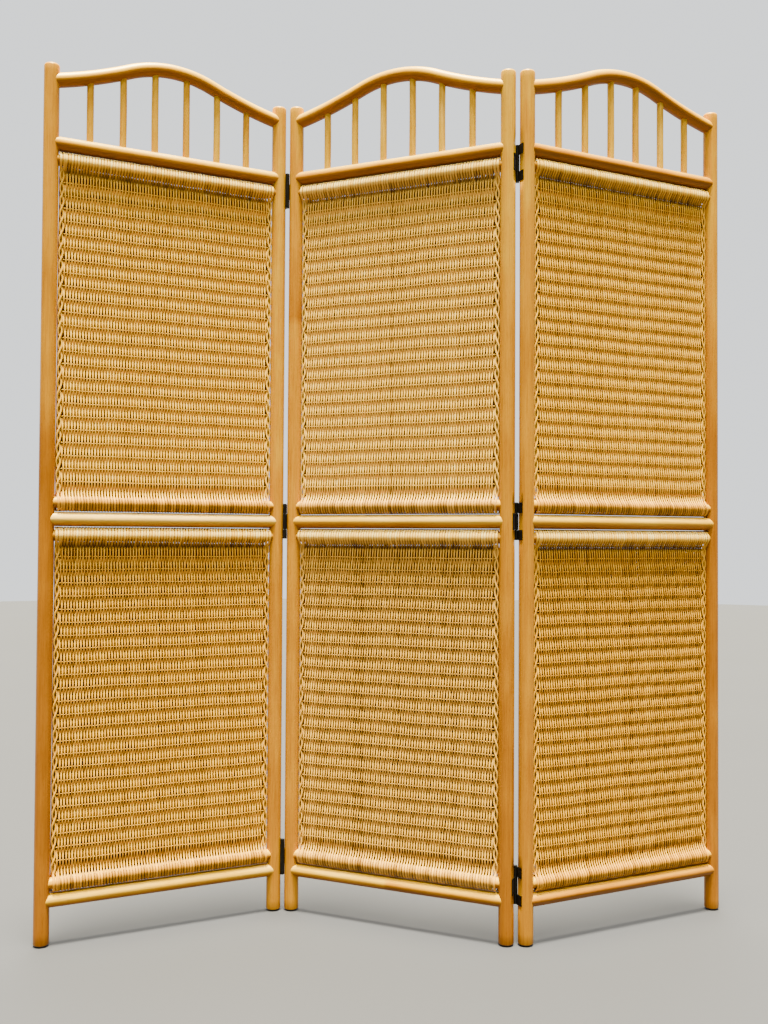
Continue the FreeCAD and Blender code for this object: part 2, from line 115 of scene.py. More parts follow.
class ScreenColours(bpy.types.PropertyGroup):
    """Colours of the finishes and of the floor."""
    pole_bleached: colour("Pole, bleached", "Rattan pole bleached by the sun", "#F4CE78")
    pole_pale: colour("Pole, pale", "Pale rattan pole", "#DAAE28")
    pole_mid: colour("Pole, honey", "Honey rattan pole", "#C4890A")
    pole_deep: colour("Pole, deep", "Deep orange rattan pole", "#A26604")
    # painted shade: rail undersides are browned towards this colour; the deepest stile tones lean to it too
    pole_brown_and_shade: colour("Pole, brown", "Underside of a rail, away from the light", "#804902")
    # painted highlight: faces turned to the sky are moved towards this cream, which is also the palest tone
    # of the core
    strand_cream_highlight: colour("Strand, bleached", "Cream rattan core, bleached by the sun", "#F8E29A")
    strand_pale: colour("Strand, pale", "Pale rattan core", "#F3C23F")
    strand_mid: colour("Strand, straw", "Straw coloured rattan core", "#ECB226")
    strand_deep: colour("Strand, amber", "Amber rattan core", "#D49514")
    # painted shade: the brown of crevices between strands, of faces behind the stakes and of the shaded rolls
    strand_crevice_shade: colour("Strand, crevice", "Brown where strands press together", "#482604")
    steel_black: colour("Hinge black", "Black lacquer on the hinges", "#0A0A0B")
    pin_black: colour("Pin black", "Blackened steel of the hinge pins", "#3A3A3C")
    glide_black: colour("Glide black", "Black nylon of the glides", "#1A1A1A")
    beech_fleck: colour("Beech, fleck", "Brown flecks in the dowels", "#B48A5E")
    beech_pale: colour("Beech, pale", "Pale wood of the dowels", "#D8B78C")
    floor: colour("Floor", "Studio floor, a cool paint that reads grey under the warm lamps", "#2E3144")


def sizes():
    """The sizes in the sidebar."""
    return bpy.context.scene.rattan_screen_sizes


def colours():
    """The colours in the sidebar."""
    return bpy.context.scene.rattan_screen_colours


def stand(panel, points):
    """Panel points to the row frame: the left stile's foot plus x along, y through and z up the panel."""
    start = FEET[f"{panel}_panel_left_foot"]
    along = (FEET[f"{panel}_panel_right_foot"] - start) / SPAN
    through = np.cross(UP, along)
    return start + points[..., :1] * along + points[..., 1:2] * through + points[..., 2:] * UP


def angles_round(sides):
    """Angles spaced evenly round a pole or a strand."""
    return np.linspace(0, 2 * np.pi, sides, endpoint=False)


def middle_height(node):
    """Height of a level bar's axis."""
    low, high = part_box(node)
    return (low.z + high.z) / 2


def add_tubes(name, rings, fibre, tone, material, body, nodes, slot):
    """One object from tubes given as rings of points: array axes are tube, ring, side and coordinate.

    Each quad joins a side to the next one and a ring to the next one, and each end is closed by one
    face. A tube whose faces enclose a negative volume has its faces turned over."""
    tubes, steps, sides = rings.shape[:3]
    index = np.arange(tubes * steps * sides).reshape(tubes, steps, sides)
    beside = np.roll(index, -1, axis=2)
    quads = np.stack([index[:, :-1], beside[:, :-1], beside[:, 1:], index[:, 1:]], -1)
    ends = np.stack([index[:, 0, ::-1], index[:, -1]], 1)
    points = rings.reshape(-1, 3)
    centred = (rings - rings.mean((1, 2), keepdims=True)).reshape(-1, 3)
    a, b, c, d = (centred[quads[..., corner]] for corner in range(4))
    volume = (np.cross(b - a, c - a) * a + np.cross(c - a, d - a) * a).sum((1, 2, 3))
    inside_out = volume < 0
    quads[inside_out] = quads[inside_out][..., ::-1]
    ends[inside_out] = ends[inside_out][..., ::-1]

    mesh = bpy.data.meshes.new(name)
    corners = np.concatenate([quads.ravel(), ends.ravel()]).astype(np.int32)
    counts = np.repeat([4, sides], [quads.size // 4, 2 * tubes])
    mesh.vertices.add(len(points))
    mesh.loops.add(len(corners))
    mesh.polygons.add(len(counts))
    mesh.vertices.foreach_set("co", points.astype(np.float32).ravel())
    mesh.loops.foreach_set("vertex_index", corners)
    mesh.polygons.foreach_set("loop_start", np.concatenate([[0], np.cumsum(counts)[:-1]]).astype(np.int32))
    mesh.polygons.foreach_set("use_smooth", np.ones(len(counts), bool))
    mesh.update(calc_edges=True)
    mesh.set_sharp_from_angle(angle=np.radians(50))
    grain = mesh.attributes.new("fibre", "FLOAT_VECTOR", "POINT")
    grain.data.foreach_set("vector", np.broadcast_to(fibre, rings.shape).astype(np.float32).ravel())
    shade = mesh.attributes.new("tone", "FLOAT", "POINT")
    shade.data.foreach_set("value", np.broadcast_to(tone, rings.shape[:3]).astype(np.float32).ravel())
    mesh.materials.append(material)
    piece = bpy.data.objects.new(name, mesh)
    bpy.context.collection.objects.link(piece)
    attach(piece, body)
    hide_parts(*nodes)


def set_inputs(tree, node, inputs=None, links=None):
    """Gives a node's inputs their values and links."""
    for key, value in (inputs or {}).items():
        node.inputs[key].default_value = value
    for key, source in (links or {}).items():
        tree.links.new(source, node.inputs[key])


def add_node(tree, kind, inputs=None, links=None, stops=None, **settings):
    """Adds a node with its settings, input values, ramp stops and links, and returns it."""
    node = tree.nodes.new(kind)
    for name, value in settings.items():
        setattr(node, name, value)
    set_inputs(tree, node, inputs, links)
    if stops:
        while len(node.color_ramp.elements) < len(stops):
            node.color_ramp.elements.new(0.5)
        for element, (place, value) in zip(node.color_ramp.elements, stops):
            element.position = place
            element.color = (*value, 1)
    return node


def new_material(name):
    """An empty material with its Principled shader."""
    material = bpy.data.materials.new(name)
    material.use_nodes = True
    return material, material.node_tree, material.node_tree.nodes["Principled BSDF"]


def grain(tree, roughness, patterns):
    """Noises drawn along the fibre, from each one's name, sizes across and along in metres, and detail."""
    fibre = add_node(tree, "ShaderNodeAttribute", attribute_name="fibre").outputs["Vector"]
    noise = {}
    for key, across, along, detail in patterns:
        place = add_node(tree, "ShaderNodeMapping", {"Scale": (1 / across, 1 / across, 1 / along)},
                         {"Vector": fibre})
        noise[key] = add_node(tree, "ShaderNodeTexNoise",
                              {"Scale": 1.0, "Detail": detail, "Roughness": roughness},
                              {"Vector": place.outputs[0]}).outputs["Fac"]
    return noise


def marked(tree, body, share, noise, stops):
    """A colour multiplied, by a share, with the marks that a noise makes through its ramp stops."""
    marks = add_node(tree, "ShaderNodeValToRGB", None, {"Fac": noise}, stops)
    return add_node(tree, "ShaderNodeMix", {"Factor": share}, {"A": body, "B": marks.outputs[0]},
                    data_type="RGBA", blend_type="MULTIPLY").outputs["Result"]


# clear lacquer turns amber with age, so its highlights are warm
LACQUER_TINT = (*linear("#FFDF99"), 1.0)
# shares of the body colour that the marks of a pattern let through
PLAIN, PALE_STREAK, DARK_STREAK = (1, 1, 1), (1.08, 1.06, 1.02), (0.72, 0.62, 0.5)
PORE, HAIRLINE = (0.6, 0.45, 0.3), (0.78, 0.68, 0.52)


def rattan_pole():
    """Peeled rattan pole, sanded and brushed with clear lacquer.

    The eye sees honey wood whose fibres run along the pole as fine streaks about 1 mm wide and 60 mm long,
    broader bands of colour, short dark pores, and a satin coat that gives long narrow highlights."""
    shades = colours()
    material, tree, shader = new_material("lacquered rattan pole")
    tone = add_node(tree, "ShaderNodeAttribute", attribute_name="tone").outputs["Fac"]
    noise = grain(tree, 0.6, (("streak", 0.0016, 0.07, 3), ("band", 0.007, 0.22, 2),
                              ("pore", 0.0007, 0.009, 1), ("blotch", 0.045, 0.11, 2)))
    banded = add_node(tree, "ShaderNodeMath", {1: 0.5, 2: -0.25}, {0: noise["band"]},
                      operation="MULTIPLY_ADD")
    mottled = add_node(tree, "ShaderNodeMath", {1: 0.7}, {0: noise["blotch"], 2: banded.outputs[0]},
                       operation="MULTIPLY_ADD")
    shifted = add_node(tree, "ShaderNodeMath", {1: -0.35}, {0: mottled.outputs[0]})
    depth = add_node(tree, "ShaderNodeMath", None, {0: tone, 1: shifted.outputs[0]})
    # tones from -0.5 to 1.5 fill the ramp
    level = add_node(tree, "ShaderNodeMapRange", {"From Min": -0.5, "From Max": 1.5},
                     {"Value": depth.outputs[0]})
    body = add_node(tree, "ShaderNodeValToRGB", None, {"Fac": level.outputs[0]},
                    ((0.0, shades.pole_bleached), (0.25, shades.pole_pale), (0.5, shades.pole_mid),
                     (0.75, shades.pole_deep), (1.0, shades.pole_brown_and_shade)))
    streaked = marked(tree, body.outputs[0], 0.8, noise["streak"],
                      ((0.3, DARK_STREAK), (0.5, PLAIN), (0.75, PALE_STREAK)))
    finished = marked(tree, streaked, 0.6, noise["pore"], ((0.28, PORE), (0.4, PLAIN)))
    rough = add_node(tree, "ShaderNodeMapRange", {"To Min": 0.30, "To Max": 0.48}, {"Value": noise["band"]})
    bump = add_node(tree, "ShaderNodeBump", {"Strength": 0.25, "Distance": 0.0003},
                    {"Height": noise["streak"]})
    set_inputs(tree, shader, {"IOR": 1.5, "Specular IOR Level": 0.4, "Specular Tint": LACQUER_TINT},
               {"Base Color": finished, "Roughness": rough.outputs[0], "Normal": bump.outputs[0]})
    return material


def rattan_core(panel, cream_shift):
    """Round rattan core, drawn through a die, woven damp and given a thin matt varnish.

    The eye sees straw to amber strands, each its own shade, with lengthwise hairlines and soft low
    highlights.
    A painted highlight makes them cream where they face the sky, and painted shade brown where they press
    together. The cream shift, painted light, moves all but the brown a share of the way to cream."""
    shades = colours()
    core_shades = np.array([tuple(shade) for shade in (shades.strand_cream_highlight, shades.strand_pale,
                                                 shades.strand_mid, shades.strand_deep)])
    # painted light: the shades are moved a share of the way to cream
    cream_leaning = core_shades + cream_shift * (core_shades[0] - core_shades)
    material, tree, shader = new_material(f"woven rattan core, {panel} panel")
    tone = add_node(tree, "ShaderNodeAttribute", attribute_name="tone").outputs["Fac"]
    # hairlines drawn broader than the real 0.1 mm so that they show, and slow changes of shade
    noise = grain(tree, 0.5, (("hair", 0.0006, 0.02, 2), ("drift", 0.02, 0.05, 2)))
    drifted = add_node(tree, "ShaderNodeMath", {1: 0.6}, {0: noise["drift"], 2: tone},
                       operation="MULTIPLY_ADD")
    depth = add_node(tree, "ShaderNodeMath", {1: 0.4, 2: 0.08}, {0: drifted.outputs[0]},
                     operation="MULTIPLY_ADD")
    body = add_node(tree, "ShaderNodeValToRGB", None, {"Fac": depth.outputs[0]},
                    (*zip((0.0, 0.2, 0.4, 0.6), cream_leaning), (1.0, shades.strand_crevice_shade)))
    finished = marked(tree, body.outputs[0], 0.7, noise["hair"], ((0.32, HAIRLINE), (0.5, PLAIN)))
    rough = add_node(tree, "ShaderNodeMapRange", {"To Min": 0.42, "To Max": 0.6}, {"Value": noise["hair"]})
    set_inputs(tree, shader, {"IOR": 1.5, "Specular IOR Level": 0.3, "Specular Tint": LACQUER_TINT},
               {"Base Color": finished, "Roughness": rough.outputs[0]})
    return material


SCUFF = 2.6


def dark_finish(name, base, low, high):
    """A near-black finish with a fine skin 1.5 mm across, paler by the scuff factor in scuffs 6 mm across.

    With the scuffs the roughness changes from the low value to the high one."""
    material, tree, shader = new_material(name)
    place = add_node(tree, "ShaderNodeTexCoord").outputs["Object"]
    skin = add_node(tree, "ShaderNodeTexNoise", {"Scale": 1 / 0.0015, "Detail": 2.0}, {"Vector": place})
    scuff = add_node(tree, "ShaderNodeTexNoise", {"Scale": 1 / 0.006, "Detail": 3.0}, {"Vector": place})
    worn = add_node(tree, "ShaderNodeValToRGB", None, {"Fac": scuff.outputs["Fac"]},
                    ((0.45, tuple(base)), (0.8, tuple(SCUFF * v for v in base))))
    rough = add_node(tree, "ShaderNodeMapRange", {"To Min": low, "To Max": high},
                     {"Value": scuff.outputs["Fac"]})
    bump = add_node(tree, "ShaderNodeBump", {"Strength": 0.2, "Distance": 0.0001},
                    {"Height": skin.outputs["Fac"]})
    set_inputs(tree, shader, None, {"Base Color": worn.outputs[0], "Roughness": rough.outputs[0],
                                    "Normal": bump.outputs[0]})
    return material, shader


def pole_finish():
    """The pole finish, made once and shared by stiles, rails and spindles."""
    return bpy.data.materials.get("lacquered rattan pole") or rattan_pole()


def tone_along(places, pairs):
    """A tone along a pole from (place, tone) pairs, in straight runs."""
    return np.interp(places, *zip(*pairs))


# tone down each stile, by height in metres: -0.5 bleached, 0 pale, 0.5 honey, 1 deep orange, 1.5 brown
STILE_TONES = {
    ("left", "left"): ((0.0, 1.2), (1.02, 1.12), (1.10, 0.66), (1.8, 0.52)),
    ("left", "right"): ((0.0, 0.72), (0.9, 0.66), (1.0, 0.42), (1.8, 0.35)),
    ("centre", "left"): ((0.0, 0.72), (0.6, 0.60), (1.314, 0.52), (1.318, 1.0), (1.40, 0.7), (1.6, 0.42),
                         (1.8, 0.40)),
    ("centre", "right"): ((0.0, 1.25), (0.5, 0.95), (0.9, 0.70), (1.2, 0.68), (1.5, 0.30), (1.8, 0.25)),
    ("right", "left"): ((0.0, 0.86), (0.8, 0.70), (1.3, 0.58), (1.7, 0.40), (1.8, 0.40)),
    ("right", "right"): ((0.0, 1.05), (1.0, 1.05), (1.2, 0.75), (1.4, 0.45), (1.8, 0.45)),
}


STILE_SIDES, STILE_RING_PITCH = 44, 0.02
# the round worn on a stile's foot, and the height of the step at each end of a planed flat, in metres
FOOT_ROUND, FLAT_STEP = 0.0012, 0.0002
# depth of each slow wave in a pole's radius, in metres
POLE_WAVE = 0.00005
# how much paler the bare wood of a planed flat is
FLAT_PALER = 0.25


class SCREEN_OT_stiles(bpy.types.Operator):
    """Upright poles with rounded tops and planed flats at the hinges"""
    bl_idname = "rattan_screen.stiles"
    bl_label = "Stiles"

    def execute(self, context):
        s = sizes()
        material = pole_finish()
        levels = ("top", "middle", "bottom")
        hinge_heights = [middle_height(f"left_fold_{level}_inner_plate") for level in levels]
        for number, ((panel, side), tones) in enumerate(STILE_TONES.items()):
            node = f"{panel}_{side}_stile"
            low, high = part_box(node)
            hinges = hinge_heights if (panel, side) in HINGED else []
            rings, fibre, tone = stile_surface(s, low.z, high.z, hinges, number, tones)
            if side == "left":
                rings = rings * np.array([-1, 1, 1])
            else:
                rings = rings + np.array([SPAN, 0, 0])
            add_tubes(f"{node}_pole", stand(panel, rings[None]), fibre, tone, material, f"{panel}_panel",
                      [node], "lacquered_rattan_pole")
        return {"FINISHED"}


def stile_surface(s, foot, top, hinges, number, tones):
    """A round pole whose radius dips by up to 0.3 mm in slow waves, and ends in quarter rounds.

    Angle and height are the grid. Outward distance is cut to the flat's offset between two rings at each end
    of a planed flat. Returns points about the pole's axis, with outward along x, fibre places and tones."""
    radius, rounding = s.post_diameter / 2, s.post_round
    edge = np.arccos(s.flat_offset / radius)
    angles = np.sort(np.concatenate([angles_round(STILE_SIDES), [edge, 2 * np.pi - edge]]))
    turn, foot_turn = np.linspace(0, np.pi / 2, 6), np.linspace(0, np.pi / 2, 4)
    cuts = [h + sign * (s.flat_half_height + gap)
            for h in hinges for sign in (-1, 1) for gap in (-FLAT_STEP, 0)]
    plain = np.arange(foot + STILE_RING_PITCH, top - rounding - STILE_RING_PITCH / 2, STILE_RING_PITCH)
    plain = plain[[not any(abs(z - c) < 0.001 for c in cuts) for z in plain]]
    heights = np.concatenate([foot + FOOT_ROUND * (1 - np.cos(foot_turn)), plain, cuts,
                              top - rounding + rounding * np.sin(turn)])
    shrink = np.concatenate([FOOT_ROUND * (1 - np.sin(foot_turn)), np.zeros(len(plain) + len(cuts)),
                             rounding * (1 - np.cos(turn))])
    order = np.argsort(heights)
    z, shrink = heights[order][:, None], shrink[order][:, None]
    wave = np.sin(7.1 * z + number) + np.sin(17.3 * z + 2.3 * number + angles) + np.sin(2 * angles + 4.7 * z)
    r = radius - shrink - POLE_WAVE * (wave + 3)
    x, y = r * np.cos(angles), r * np.sin(angles)
    planed = np.zeros_like(z, bool)
    for h in hinges:
        planed |= abs(z - h) <= s.flat_half_height
    x = np.where(planed, np.minimum(x, s.flat_offset), x)
    points = np.stack([x, y, np.broadcast_to(z, x.shape)], -1)
    fibre = points + np.array([0, 0, 3.7 * number])
    tone = tone_along(z, tones) - np.where(planed & (x >= s.flat_offset - 1e-6), FLAT_PALER, 0)
    return points, fibre, tone


# degrees of the bowed rail's slope, at its ends and where they pass into the crown
END_SLOPE, CROWN_SLOPE = 12, 22.5


def bowed_axis(s, panel):
    """The bowed rail's axis: its slope rises from the ends', falls evenly over the crown and mirrors.

    Each stretch of steady change is an arc. Places come from adding up the cosine and sine of the slope, and
    the crown stands as high as the panel's own. Returns distance along, x, z and slope."""
    shallow, steep = np.radians((END_SLOPE, CROWN_SLOPE))
    crown = 2 * s.crown_radius * steep
    reverse_radius = (SPAN / 2 - s.crown_radius * np.sin(steep)) / (np.sin(steep) - np.sin(shallow))
    reverse = reverse_radius * (steep - shallow)
    along = np.linspace(0, crown + 2 * reverse, 2001)
    slope = np.interp(along, [0, reverse, reverse + crown, 2 * reverse + crown],
                      [shallow, steep, -steep, -shallow])
    middle = (slope[1:] + slope[:-1]) / 2
    step = np.diff(along)
    x = np.concatenate([[0], np.cumsum(step * np.cos(middle))])
    z = np.concatenate([[0], np.cumsum(step * np.sin(middle))])
    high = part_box(f"{panel}_arched_rail")[1].z
    return along, x, z - z.max() + high - s.rail_diameter / 2, slope


def level_axis(height):
    """A level pole's axis from stile to stile, in the same order."""
    along = np.linspace(0, SPAN, 101)
    return along, along, np.full(101, height), np.zeros(101)


COPED_SIDES = 36
# how far a coped end beds into its stile, and the joint line's depth and length, in metres
COPE_BED, JOINT_DEPTH, JOINT_LENGTH = 0.0006, 0.0004, 0.0009
# painted light and shade: how much paler the rails' tops are painted, where light falls from above,
# and how much browner their undersides, where shade falls
TOP_PAINTED_LIGHT, UNDER_PAINTED_SHADE = 0.8, 1.9


def coped_surface(s, axis, diameter, number, tones):
    """A pole carried along an axis in the panel's plane, its ends shaped to the stiles' round.

    For each angle round the pole, the line along it runs between the places where it meets the stiles:
    x is the root of the stile's radius squared less y squared. The radius dips by up to 0.2 mm in slow
    waves, and by 0.4 mm at the very ends, which leaves a fine joint line."""
    along, x, z, slope = axis
    radius = diameter / 2
    angles = angles_round(COPED_SIDES)
    across, rise = radius * np.cos(angles), radius * np.sin(angles)
    reach = np.sqrt((s.post_diameter / 2 - COPE_BED) ** 2 - across ** 2)
    line_x = x[:, None] - rise * np.sin(slope)[:, None]
    starts = np.array([np.interp(r, line_x[:, i], along) for i, r in enumerate(reach)])
    ends = np.array([np.interp(SPAN - r, line_x[:, i], along) for i, r in enumerate(reach)])
    close = np.array([0, 0.0022, 0.004, 0.007])
    share = np.concatenate([close, np.linspace(0.015, 0.985, 62), 1 - close[::-1]])
    place = starts + share[:, None] * (ends - starts)
    gap = np.minimum(share, 1 - share)[:, None] * SPAN
    wave = np.sin(13.1 * place + number) + np.sin(29.3 * place + 1.7 * number + angles)
    r = radius - POLE_WAVE * (wave + 2) - JOINT_DEPTH * np.exp(-gap / JOINT_LENGTH)
    tilt = np.interp(place, along, slope)
    points = np.stack([np.interp(place, along, x) - r * np.sin(angles) * np.sin(tilt),
                       r * np.cos(angles) + 0 * tilt,
                       np.interp(place, along, z) + r * np.sin(angles) * np.cos(tilt)], -1)
    fibre = np.stack([r * np.cos(angles), r * np.sin(angles), place + 2.9 * number], -1)
    # painted light and shade: faces turned up are painted paler, no further than the pale tone, and faces
    # turned down browner
    facing, tone = np.sin(angles), tone_along(place, tones)
    sky_shaded_tone = tone - np.where(facing > 0, TOP_PAINTED_LIGHT, UNDER_PAINTED_SHADE) * facing
    return points, fibre, np.maximum(sky_shaded_tone, np.minimum(tone, 0))


# tone along each rail from the panel's left stile, in metres
RAIL_TONES = {
    ("left", "arched_rail"): ((0, 0.40), (0.5, 0.45)),
    ("left", "upper_rail"): ((0, 0.45), (0.5, 0.40)),
    ("left", "middle_rail"): ((0, -0.45), (0.5, -0.35)),
    ("left", "bottom_rail"): ((0, -0.10), (0.3, 0.10), (0.5, -0.10)),
    ("centre", "arched_rail"): ((0, 0.35), (0.5, 0.35)),
    ("centre", "upper_rail"): ((0, 0.60), (0.5, 0.55)),
    ("centre", "middle_rail"): ((0, 0.00), (0.5, -0.10)),
    ("centre", "bottom_rail"): ((0, 0.12), (0.230, 0.10), (0.233, 0.02), (0.238, 0.70), (0.5, 0.45)),
    ("right", "arched_rail"): ((0, 0.50), (0.5, 0.60)),
    ("right", "upper_rail"): ((0, 1.00), (0.5, 0.95)),
    ("right", "middle_rail"): ((0, 0.15), (0.5, 0.05)),
    ("right", "bottom_rail"): ((0, 1.00), (0.5, 0.92)),
}
MAT_POLE_TONES = ((0, 0.5), (0.5, 0.5))
# the mat poles' waves are numbered past the rails'
FIRST_MAT_POLE = 40


class SCREEN_OT_rails(bpy.types.Operator):
    """Bowed and straight rails with coped ends, and the poles inside the mats' rolls"""
    bl_idname = "rattan_screen.rails"
    bl_label = "Rails"

    def execute(self, context):
        s = sizes()
        material = pole_finish()
        for number, ((panel, rail), tones) in enumerate(RAIL_TONES.items()):
            node = f"{panel}_{rail}"
            axis = bowed_axis(s, panel) if rail == "arched_rail" else level_axis(middle_height(node))
            rings, fibre, tone = coped_surface(s, axis, s.rail_diameter, number, tones)
            add_tubes(f"{node}_pole", stand(panel, rings[None]), fibre, tone, material, f"{panel}_panel",
                      [node], "lacquered_rattan_rail")
        for panel in PANELS:
            for mat in MATS:
                pair = [coped_surface(s, level_axis(height), s.mat_pole_diameter, number, MAT_POLE_TONES)
                        for number, height in enumerate(pole_heights(s, panel, mat), FIRST_MAT_POLE)]
                rings, fibre, tone = (np.stack(part) for part in zip(*pair))
                node = f"{panel}_{mat}_poles"
                add_tubes(f"{node}_pair", stand(panel, rings), fibre, tone, material, f"{panel}_panel",
                          [node], "lacquered_rattan_rail")
        return {"FINISHED"}


def pole_heights(s, panel, mat):
    """Heights of a mat's top and bottom pole axes."""
    low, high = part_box(f"{panel}_{mat}_poles")
    return high.z - s.mat_pole_diameter / 2, low.z + s.mat_pole_diameter / 2


SPINDLE_COUNT, SPINDLE_SIDES, SPINDLE_RINGS = 6, 20, 26
# depth of each wave in a spindle's radius, and how far a spindle bends, in metres
SPINDLE_WAVE, SPINDLE_BEND = 0.00006, 0.0006
# tone of each panel's spindles, and how far they differ
SPINDLE_TONES = {"left": 0.22, "centre": 0.04, "right": 0.14}
SPINDLE_TONE_SPREAD = 0.10


class SCREEN_OT_spindles(bpy.types.Operator):
    """Thin rods between the upper rail and the bowed rail"""
    bl_idname = "rattan_screen.spindles"
    bl_label = "Spindles"

    def execute(self, context):
        """Angle and height are the grid: slow sine waves dip the radius, and half a sine bends each rod."""
        s = sizes()
        material = pole_finish()
        angles = angles_round(SPINDLE_SIDES)
        number = np.arange(SPINDLE_COUNT)[:, None, None]
        x = SPAN / 2 + s.spindle_pitch * (number - (SPINDLE_COUNT - 1) / 2)
        share = np.linspace(0, 1, SPINDLE_RINGS)[:, None]
        inset = s.rail_diameter / 2 - s.spindle_socket
        for count, panel in enumerate(PANELS):
            _, axis_x, axis_z, _ = bowed_axis(s, panel)
            top = np.interp(x, axis_x, axis_z) - inset
            foot = middle_height(f"{panel}_upper_rail") + inset
            z = foot + share * (top - foot)
            phase = number + 7 * count
            wave = np.sin(31 * z + phase) + np.sin(2 * angles + 9 * z + phase)
            r = s.spindle_diameter / 2 - SPINDLE_WAVE * (2 + wave)
            bend = SPINDLE_BEND * np.sin(np.pi * share) * np.sin(2.1 * phase)
            rings = np.stack([x + bend + r * np.cos(angles), r * np.sin(angles), z + 0 * angles], -1)
            fibre = np.stack([r * np.cos(angles), r * np.sin(angles), z + 0.9 * phase + 0 * angles], -1)
            tone = SPINDLE_TONES[panel] + SPINDLE_TONE_SPREAD * np.sin(2.7 * phase)
            add_tubes(f"{panel}_spindles_rods", stand(panel, rings), fibre, tone, material, f"{panel}_panel",
                      [f"{panel}_spindles"], "rattan_spindle")
        return {"FINISHED"}


STRAND_SIDES = 6
# degrees up from a top pole's front: where a strand folds over the pole, and where it leaves the roll
FOLD_ANGLE, LEAVE_ANGLE = 92, -50
# rings of a strand on a roll, between roll and weave, and from stake to stake
ROLL_RINGS, EASE_RINGS, WEAVE_RINGS = 12, 5, 4
# how steeply a strand leaves its roll
EASE_PULL = 2.7
# painted shade: brown painted under a top roll, behind the bottom roll, and just above it, where the rolls
# shade the strands
UNDER_ROLL_SHADE, ROLL_BACK_SHADE, ROLL_BROW_SHADE = 2.6, 1.5, 0.6


def strand_path(s, top, bottom):
    """One strand's line through and up the mat, for a strand in front of the top roll.

    From the fold it follows the roll's front, runs in an easy curve behind the first stake, swings in front
    of and behind the stakes as a cosine, and follows the bottom roll's back. Round a pole y is the wound
    radius times cosine and z times sine, and the folds stand a little clear of their poles. Returns y, z, how
    far the weave holds it, from 0 on the rolls to 1 between the stakes, how far it leans to the strand that
    it folds into, from 1 and -1 at the two folds to 0 where it leaves the rolls, and the painted shade that
    darkens it where the rolls shade it: under the top roll, and round the bottom roll."""
    wind = s.mat_pole_diameter / 2 + s.strand_thickness / 2
    swing = (s.stake_diameter + s.strand_thickness) / 2
    turn = np.radians(np.linspace(FOLD_ANGLE, LEAVE_ANGLE, ROLL_RINGS))
    y_top, z_top = -wind * np.cos(turn), top + wind * np.sin(turn)
    first, last = top - s.first_stake, bottom + s.first_stake
    stakes = np.linspace(0, s.stake_count - 1, WEAVE_RINGS * (s.stake_count - 1) + 1)
    z_wave = first + (last - first) * stakes / (s.stake_count - 1)
    y_wave = swing * np.cos(np.pi * stakes)
    # the easy curve starts down the roll's slope, never overshoots, and is upright at the stake
    t = np.linspace(0, 1, EASE_RINGS + 2)[1:-1]
    z_ease = z_top[-1] + (first - z_top[-1]) * t
    y_ease = ((2 * t ** 3 - 3 * t ** 2 + 1) * y_top[-1] + (3 * t ** 2 - 2 * t ** 3) * y_wave[0]
              + (t ** 3 - 2 * t ** 2 + t) * EASE_PULL * (y_wave[0] - y_top[-1]))
    # the bottom roll is the top roll turned over, on the other face where the stakes are even in number
    y_roll = np.concatenate([y_top, y_ease])
    z_roll = np.concatenate([z_top + s.loop_slack * np.sin(turn).clip(0, 1), z_ease])
    mirror = -1 if s.stake_count % 2 == 0 else 1
    y = np.concatenate([y_roll, y_wave, mirror * y_roll[::-1]])
    z = np.concatenate([z_roll, z_wave, (top + bottom - z_roll)[::-1]])
    hold = np.concatenate([0 * z_top, (1.8 * t).clip(0, 1), 0 * z_wave + 1, 0 * t + 1, 0 * z_top])
    fold = (turn - turn[-1]) / (turn[0] - turn[-1])
    lean = np.concatenate([fold, 0 * t, 0 * z_wave, 0 * t, -fold[::-1]])
    # painted shade: brown under the top roll and in the ease below it, just above the bottom roll and round
    # it
    shade_under_top_roll = UNDER_ROLL_SHADE * (-0.1 - np.sin(turn)).clip(0, 0.5)
    brown = np.concatenate([shade_under_top_roll, (3 - 6 * t).clip(0, 1), 0 * z_wave, ROLL_BROW_SHADE * (1 - t[::-1]),
                            0 * turn + ROLL_BACK_SHADE])
    return y, z, hold, lean, brown


def carry(y, z, width, thickness):
    """A strand's oval carried along a line in the panel's y and z.

    x is half the width times cosine, and the rest lies along the line's normal, half the thickness times
    sine. Returns points with x about zero, the distance run, and how far each point faces the back and the
    sky."""
    dy, dz = np.gradient(y), np.gradient(z)
    size = np.hypot(dy, dz)
    run = np.concatenate([[0], np.cumsum(np.hypot(np.diff(y), np.diff(z)))])
    angles = angles_round(STRAND_SIDES)
    back, sky = np.sin(angles) * (dz / size)[:, None], -np.sin(angles) * (dy / size)[:, None]
    x = np.broadcast_to(width, y.shape)[:, None] / 2 * np.cos(angles)
    points = np.stack([x, y[:, None] + thickness / 2 * back, z[:, None] + thickness / 2 * sky], -1)
    return points, run, back, sky


def side_shade():
    """Painted shade on a strand's sides, where they lie against its neighbours: 0.9 times the angle's cosine
    to the fourth.
    """
    return 0.9 * np.cos(angles_round(STRAND_SIDES)) ** 4


# how far each wave moves the weave up and along, and how far from the rolls it does so in full, in metres
LOOSE_UP, LOOSE_ALONG, LOOSE_EASE = 0.0004, 0.00025, 0.05


def loosen(points, top, bottom, seed):
    """Small unevenness of the weaver's hand: slow sine waves move the weave by up to 1 mm up and down and
    0.5 mm along, fading to nothing at the rolls."""
    x, z = points[..., 0], points[..., 2]
    hold = np.clip(np.minimum(top - z, z - bottom) / LOOSE_EASE, 0, 1)
    lift = (np.sin(11 * x + 23 * z + seed) + np.sin(29 * x - 9 * z + 2.1 * seed)
            + 0.6 * np.sin(61 * x + 5 * z + 3.3 * seed))
    drift = np.sin(17 * z + 31 * x + 1.3 * seed) + np.sin(43 * z + 2.9 * seed)
    moved = points.copy()
    moved[..., 2] += LOOSE_UP * hold * lift
    moved[..., 0] += LOOSE_ALONG * hold * drift
    return moved


